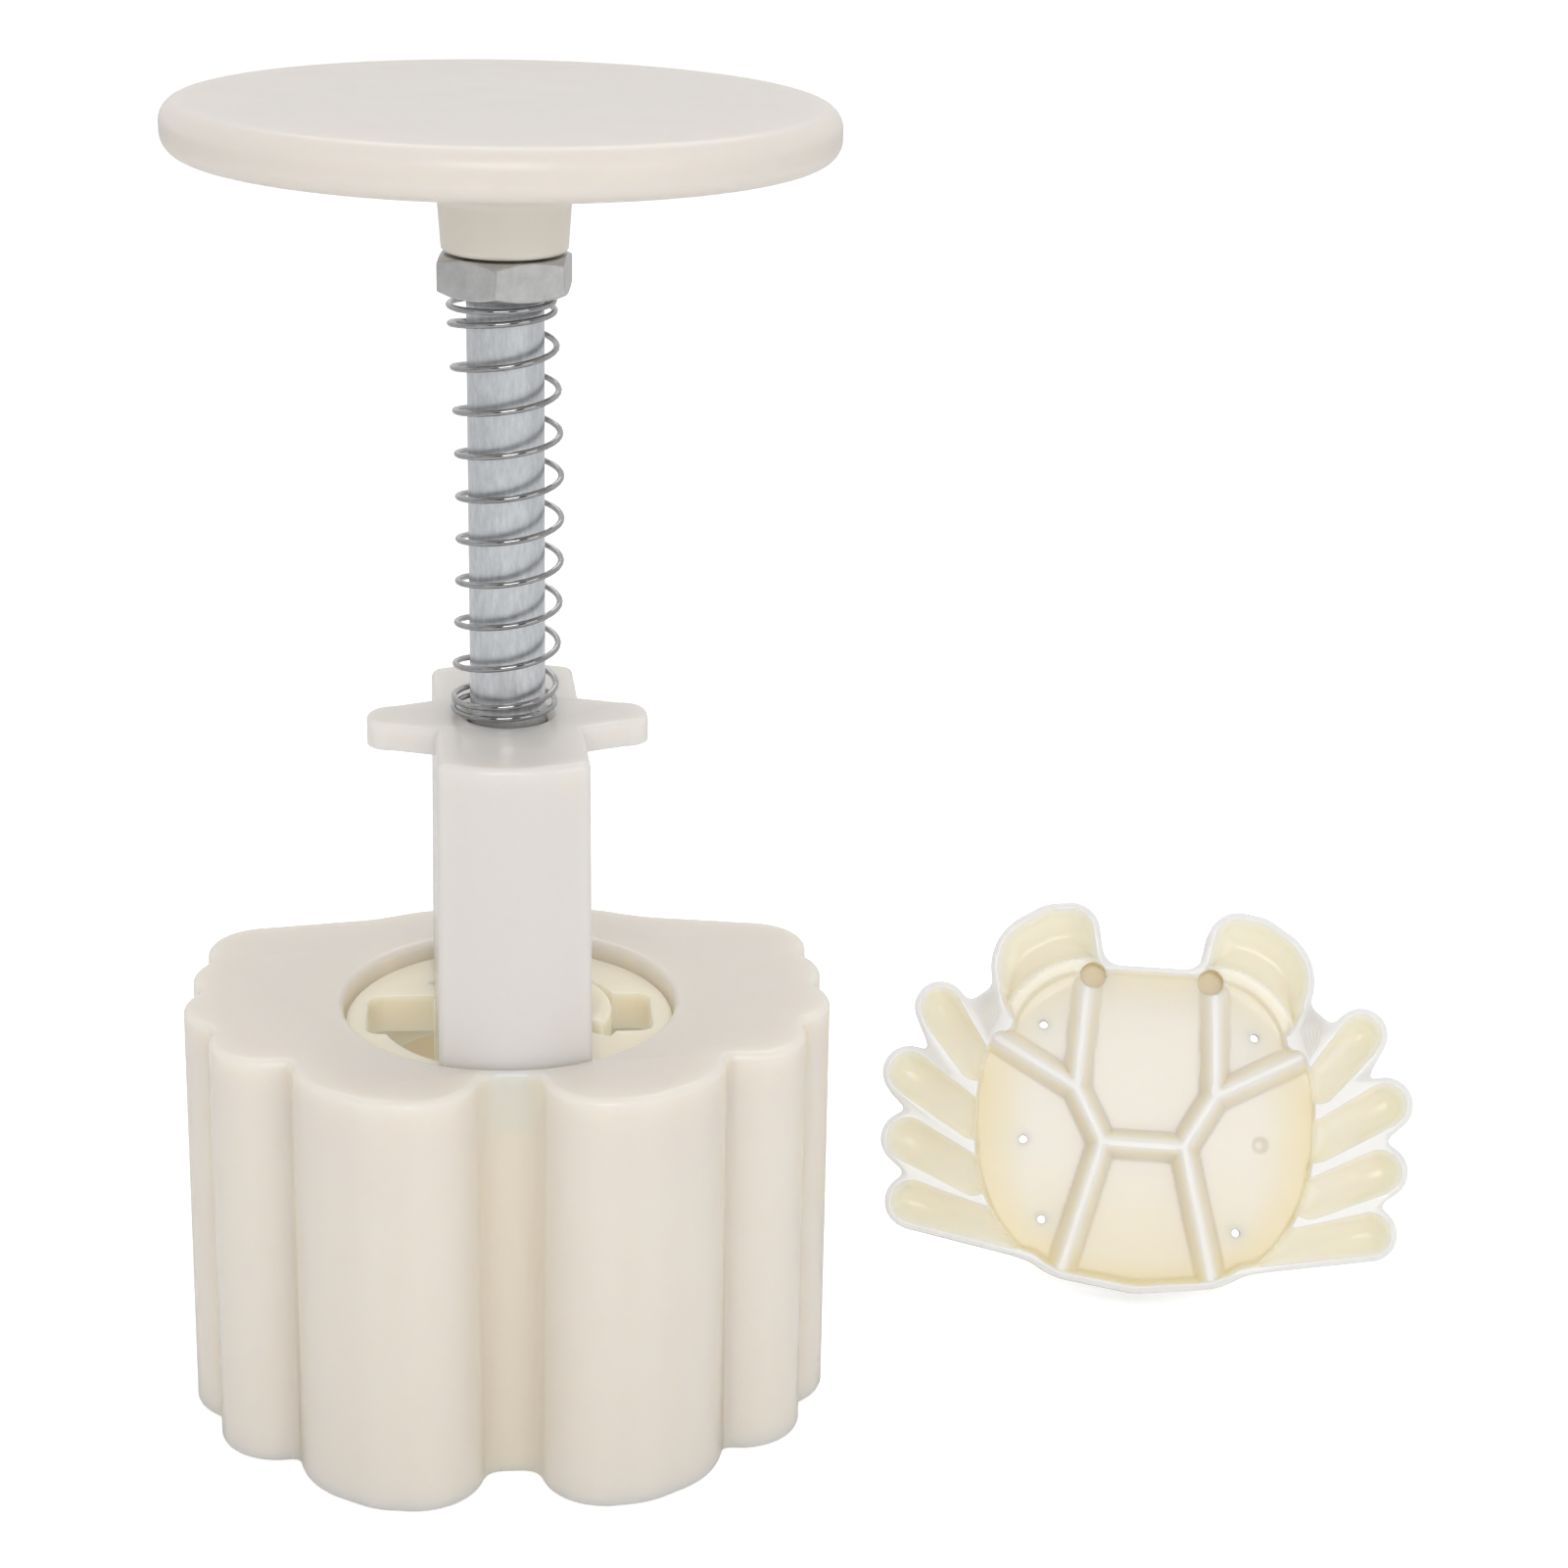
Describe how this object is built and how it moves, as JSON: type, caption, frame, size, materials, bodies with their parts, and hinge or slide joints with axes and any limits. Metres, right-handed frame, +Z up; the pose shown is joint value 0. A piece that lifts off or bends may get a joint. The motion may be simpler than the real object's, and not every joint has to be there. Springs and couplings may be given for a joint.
{
  "type": "mooncake mold",
  "caption": "Hand plunger mould for pastry: crab shaped barrel, sprung plunger with a palm disc in a guide tower, and a loose crab stamp standing beside it.",
  "frame": {"origin": "on the table, under the middle of the box round the whole object", "axes": "+Z up along the plunger, -Y towards the claws of the crab barrel, +X from the press towards the loose stamp"},
  "size_m": [0.1464, 0.0914, 0.1465],
  "materials": {
    "barrel_plastic": "cream, slightly translucent, glossy",
    "ring_plastic": "pale yellow, slightly translucent",
    "tower_plastic": "off-white, satin to glossy",
    "spring_nickel": "bright nickel plated wire",
    "rod_zinc": "zinc plated steel, satin",
    "clip_steel": "plain spring steel",
    "nut_zinc": "zinc plated steel, satin",
    "knob_plastic": "cream, slightly translucent, glossy",
    "knob_brass": "turned brass",
    "stamp_plastic": "pale yellow, translucent, glossy",
    "stamp_brass": "turned brass"
  },
  "bodies": {
    "barrel": {"barrel": "barrel_plastic", "lock_ring": "ring_plastic"},
    "tower": {"guide_tower": "tower_plastic", "spring": "spring_nickel"},
    "plunger": {"rod": "rod_zinc", "lock_nut": "nut_zinc", "knob": "knob_plastic", "knob_insert": "knob_brass", "retaining_clip": "clip_steel"},
    "stamp": {"stamp": "stamp_plastic", "stamp_insert": "stamp_brass"}
  },
  "joints": [
    {"name": "twist_lock", "type": "hinge", "parent": "barrel", "child": "tower", "pos_m": [-0.03731, -0.01171, 0.05], "axis": [0, 0, 1], "range_deg": [0, 90]},
    {"name": "press", "type": "slide", "parent": "tower", "child": "plunger", "axis": [0, 0, -1], "range_m": [0, 0.03], "stiffness_N_per_m": 110, "springref_m": -0.012, "deforming": ["spring"]},
    {"name": "stamp_lift", "type": "slide", "parent": "barrel", "child": "stamp", "axis": [0, 0, 1], "range_m": [0, 0.06]}
  ]
}
